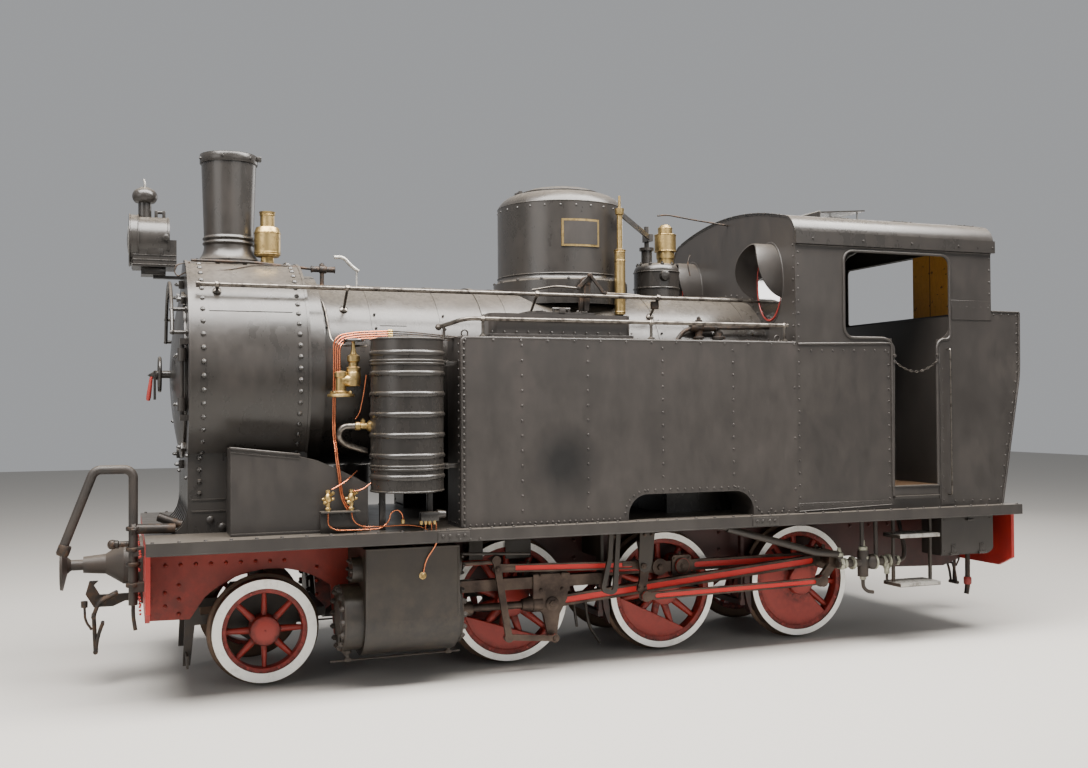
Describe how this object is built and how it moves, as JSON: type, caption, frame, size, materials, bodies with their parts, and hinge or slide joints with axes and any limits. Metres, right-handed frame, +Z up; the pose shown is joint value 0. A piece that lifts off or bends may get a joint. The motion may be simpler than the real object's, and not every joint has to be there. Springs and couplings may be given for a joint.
{
  "type": "steam tank locomotive",
  "caption": "Narrow-gauge steam tank locomotive with side tanks, a domed boiler, coupled spoked wheels on rods, a leading truck, a roofed cab and a coal bunker.",
  "frame": {"origin": "on the centre line below the middle of the length over the buffers, at the lowest point of the wheel flanges", "axes": "+X towards the bunker end, +Y to the driver's right when facing the chimney end's rear, +Z up"},
  "size_m": [8.14, 2.468, 3.85],
  "materials": {
    "black_paint": "satin",
    "red_paint": "satin",
    "bright_steel": "satin",
    "tyre_steel": "worn",
    "dark_steel": "rough",
    "brass": "polished",
    "wood": "rough",
    "glass": "gloss"
  },
  "bodies": {
    "locomotive": {"air_drum": "black_paint", "air_pump": "black_paint", "ash_pan": "black_paint", "axleboxes_and_springs": "black_paint", "backhead_fittings": "brass", "boiler": "black_paint", "brake_gear": "red_paint", "brass_valves": "brass", "buffer_beams": "red_paint", "buffers": "black_paint", "bunker": "black_paint", "cab_floor": "wood", "cab_front": "black_paint", "cab_glass": "glass", "cab_rear": "black_paint", "cab_roof": "black_paint", "cab_side_left": "black_paint", "cab_side_right": "black_paint", "chimney": "black_paint", "connecting_rods": "bright_steel", "crossheads": "bright_steel", "cylinders": "black_paint", "dome": "black_paint", "draw_hooks": "dark_steel", "eccentric_rods": "bright_steel", "front_grab_rail": "black_paint", "handrails": "bright_steel", "head_lamp": "black_paint", "leading_truck": "red_paint", "main_frame": "red_paint", "motion_brackets": "red_paint", "pipework": "black_paint", "rear_shutter": "wood", "running_boards": "black_paint", "safety_valve_base": "black_paint", "slide_bars": "bright_steel", "smokebox": "black_paint", "steam_casings": "black_paint", "steps": "black_paint", "tank_left": "black_paint", "tank_right": "black_paint", "tool_boxes": "black_paint", "valve_gear": "bright_steel", "window_hoods": "black_paint"},
    "leading_wheelset": {"leading_wheels": "red_paint", "leading_tyres": "tyre_steel"},
    "driver_1_wheelset": {"driver_1_wheels": "red_paint", "driver_1_tyres": "tyre_steel"},
    "driver_2_wheelset": {"driver_2_wheels": "red_paint", "driver_2_tyres": "tyre_steel"},
    "driver_3_wheelset": {"driver_3_wheels": "red_paint", "driver_3_tyres": "tyre_steel"},
    "coupling_rod_left": {"coupling_rod_left": "bright_steel"},
    "coupling_rod_right": {"coupling_rod_right": "bright_steel"},
    "smokebox_door": {"smokebox_door": "black_paint"},
    "dome_lid": {"dome_lid": "black_paint"},
    "filler_lid_left": {"filler_lid_left": "black_paint"},
    "filler_lid_right": {"filler_lid_right": "black_paint"},
    "tool_box_door_left": {"tool_box_door_left": "black_paint"},
    "tool_box_door_right": {"tool_box_door_right": "black_paint"}
  },
  "joints": [
    {"name": "leading_axle", "type": "hinge", "parent": "locomotive", "child": "leading_wheelset", "pos_m": [-2.717, 0, 0.393], "axis": [0, 1, 0], "continuous": true},
    {"name": "driver_3_axle", "type": "hinge", "parent": "locomotive", "child": "driver_3_wheelset", "pos_m": [1.673, 0, 0.488], "axis": [0, 1, 0], "continuous": true},
    {"name": "driver_2_axle", "type": "hinge", "parent": "locomotive", "child": "driver_2_wheelset", "pos_m": [0.395, 0, 0.488], "axis": [0, 1, 0], "continuous": true},
    {"name": "driver_1_axle", "type": "hinge", "parent": "locomotive", "child": "driver_1_wheelset", "pos_m": [-0.891, 0, 0.488], "axis": [0, 1, 0], "continuous": true},
    {"name": "coupling_rod_left_pin", "type": "hinge", "parent": "driver_3_wheelset", "child": "coupling_rod_left", "pos_m": [1.788, -0.64, 0.68719], "axis": [0, 1, 0], "continuous": true},
    {"name": "coupling_rod_right_pin", "type": "hinge", "parent": "driver_3_wheelset", "child": "coupling_rod_right", "pos_m": [1.47381, 0.64, 0.603], "axis": [0, 1, 0], "continuous": true},
    {"name": "smokebox_door_hinge", "type": "hinge", "parent": "locomotive", "child": "smokebox_door", "pos_m": [-3.28, -0.65, 2.16], "axis": [0, 0, 1], "range_deg": [0, 110]},
    {"name": "dome_lid_hinge", "type": "hinge", "parent": "locomotive", "child": "dome_lid", "pos_m": [-0.613, 0, 3.71], "axis": [0, -1, 0], "range_deg": [0, 110]},
    {"name": "filler_lid_left_hinge", "type": "hinge", "parent": "locomotive", "child": "filler_lid_left", "pos_m": [-0.62, -0.745, 2.654], "axis": [-1, 0, 0], "range_deg": [0, 100]},
    {"name": "filler_lid_right_hinge", "type": "hinge", "parent": "locomotive", "child": "filler_lid_right", "pos_m": [-0.62, 0.745, 2.654], "axis": [1, 0, 0], "range_deg": [0, 100]},
    {"name": "tool_box_door_left_hinge", "type": "hinge", "parent": "locomotive", "child": "tool_box_door_left", "pos_m": [3.0225, -1.039, 0.702], "axis": [1, 0, 0], "range_deg": [0, 110]},
    {"name": "tool_box_door_right_hinge", "type": "hinge", "parent": "locomotive", "child": "tool_box_door_right", "pos_m": [3.0225, 1.039, 0.702], "axis": [-1, 0, 0], "range_deg": [0, 110]}
  ],
  "couplings": [
    {"joint": "driver_1_axle", "follows": "driver_3_axle", "ratio": 1},
    {"joint": "driver_2_axle", "follows": "driver_3_axle", "ratio": 1},
    {"joint": "coupling_rod_left_pin", "follows": "driver_3_axle", "ratio": -1},
    {"joint": "coupling_rod_right_pin", "follows": "driver_3_axle", "ratio": -1}
  ]
}
